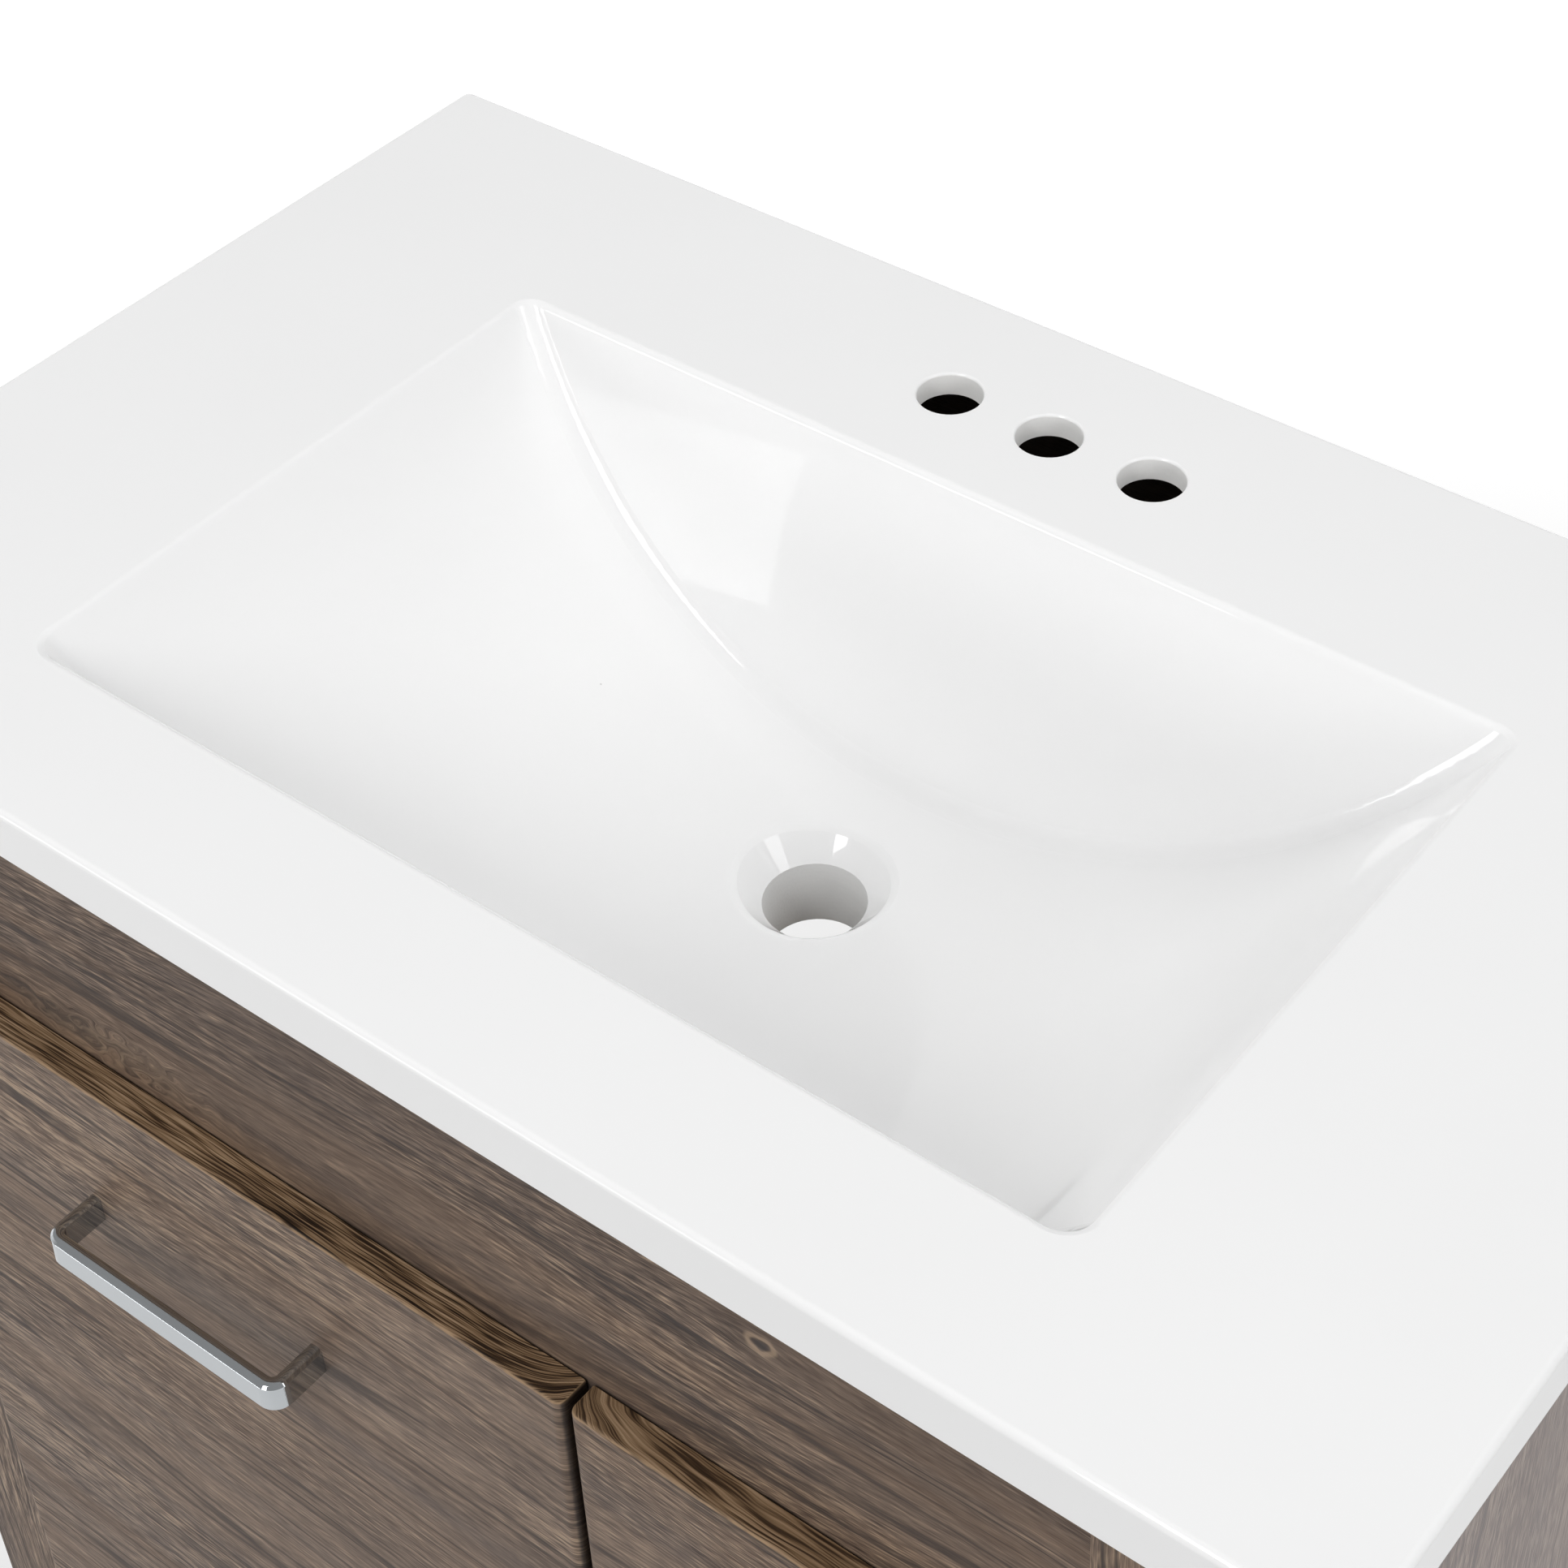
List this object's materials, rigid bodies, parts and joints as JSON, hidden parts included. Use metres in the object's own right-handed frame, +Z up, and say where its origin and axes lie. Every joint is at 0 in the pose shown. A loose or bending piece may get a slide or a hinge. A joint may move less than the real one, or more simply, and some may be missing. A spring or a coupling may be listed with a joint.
{
  "type": "bathroom vanity with integral sink top",
  "caption": "Wood-look bathroom vanity with a one-piece white top and arched basin, faucet holes and drain hole, a hinged door, sliding drawers and chrome bar pulls.",
  "frame": {"origin": "on the floor under the middle of the overall box", "axes": "+Z up, +Y towards the wall, +X to the right of someone facing the fronts"},
  "size_m": [0.7746, 0.511, 0.87],
  "materials": {
    "cast_white": "glossy cast white",
    "wood_foil": "matt grey-brown wood-grain foil",
    "bare_board": "bare fibreboard and ply",
    "dark_board": "near-black foil",
    "polished_chrome": "polished",
    "zinc_steel": "zinc plated",
    "clear_rubber": "soft clear"
  },
  "bodies": {
    "cabinet": {"back_rail_bottom": "dark_board", "back_rail_top": "dark_board", "bottom_panel": "bare_board", "bottom_rail": "wood_foil", "corner_blocks": "bare_board", "drawer_bay_partition": "bare_board", "drawer_bay_side": "bare_board", "drawer_rail": "wood_foil", "hinge_frame_leaves": "zinc_steel", "hinge_frame_screws": "zinc_steel", "hinge_pins": "zinc_steel", "lower_slide_outer": "zinc_steel", "mullion": "wood_foil", "side_panel_left": "wood_foil", "side_panel_right": "wood_foil", "sink_top": "cast_white", "stile_left": "wood_foil", "stile_right": "wood_foil", "toe_board": "wood_foil", "top_rail": "wood_foil", "upper_slide_outer": "zinc_steel"},
    "door": {"door_panel": "wood_foil", "door_pull": "polished_chrome", "door_pull_screws": "zinc_steel", "door_bumpers": "clear_rubber", "hinge_door_leaves": "zinc_steel", "hinge_door_screws": "zinc_steel"},
    "upper_drawer": {"upper_drawer_front": "wood_foil", "upper_drawer_side_left": "bare_board", "upper_drawer_side_right": "bare_board", "upper_drawer_box_front": "bare_board", "upper_drawer_box_back": "bare_board", "upper_drawer_bottom": "bare_board", "upper_drawer_pull": "polished_chrome", "upper_drawer_pull_screws": "zinc_steel", "upper_drawer_bumpers": "clear_rubber", "upper_slide_inner": "zinc_steel"},
    "upper_slide_carriage": {"upper_slide_middle": "zinc_steel"},
    "lower_drawer": {"lower_drawer_front": "wood_foil", "lower_drawer_side_left": "bare_board", "lower_drawer_side_right": "bare_board", "lower_drawer_box_front": "bare_board", "lower_drawer_box_back": "bare_board", "lower_drawer_bottom": "bare_board", "lower_drawer_pull": "polished_chrome", "lower_drawer_pull_screws": "zinc_steel", "lower_drawer_bumpers": "clear_rubber", "lower_slide_inner": "zinc_steel"},
    "lower_slide_carriage": {"lower_slide_middle": "zinc_steel"}
  },
  "joints": [
    {"name": "door_hinge", "type": "hinge", "parent": "cabinet", "child": "door", "pos_m": [-0.31165, -0.21823, 0.4365], "axis": [0, 0, -1], "range_deg": [0, 110]},
    {"name": "upper_drawer_slide", "type": "slide", "parent": "cabinet", "child": "upper_drawer", "axis": [0, -1, 0], "range_m": [0, 0.38]},
    {"name": "upper_carriage_slide", "type": "slide", "parent": "cabinet", "child": "upper_slide_carriage", "axis": [0, -1, 0], "range_m": [0, 0.19]},
    {"name": "lower_drawer_slide", "type": "slide", "parent": "cabinet", "child": "lower_drawer", "axis": [0, -1, 0], "range_m": [0, 0.38]},
    {"name": "lower_carriage_slide", "type": "slide", "parent": "cabinet", "child": "lower_slide_carriage", "axis": [0, -1, 0], "range_m": [0, 0.19]}
  ],
  "couplings": [
    {"joint": "upper_carriage_slide", "follows": "upper_drawer_slide", "ratio": 0.5},
    {"joint": "lower_carriage_slide", "follows": "lower_drawer_slide", "ratio": 0.5}
  ]
}
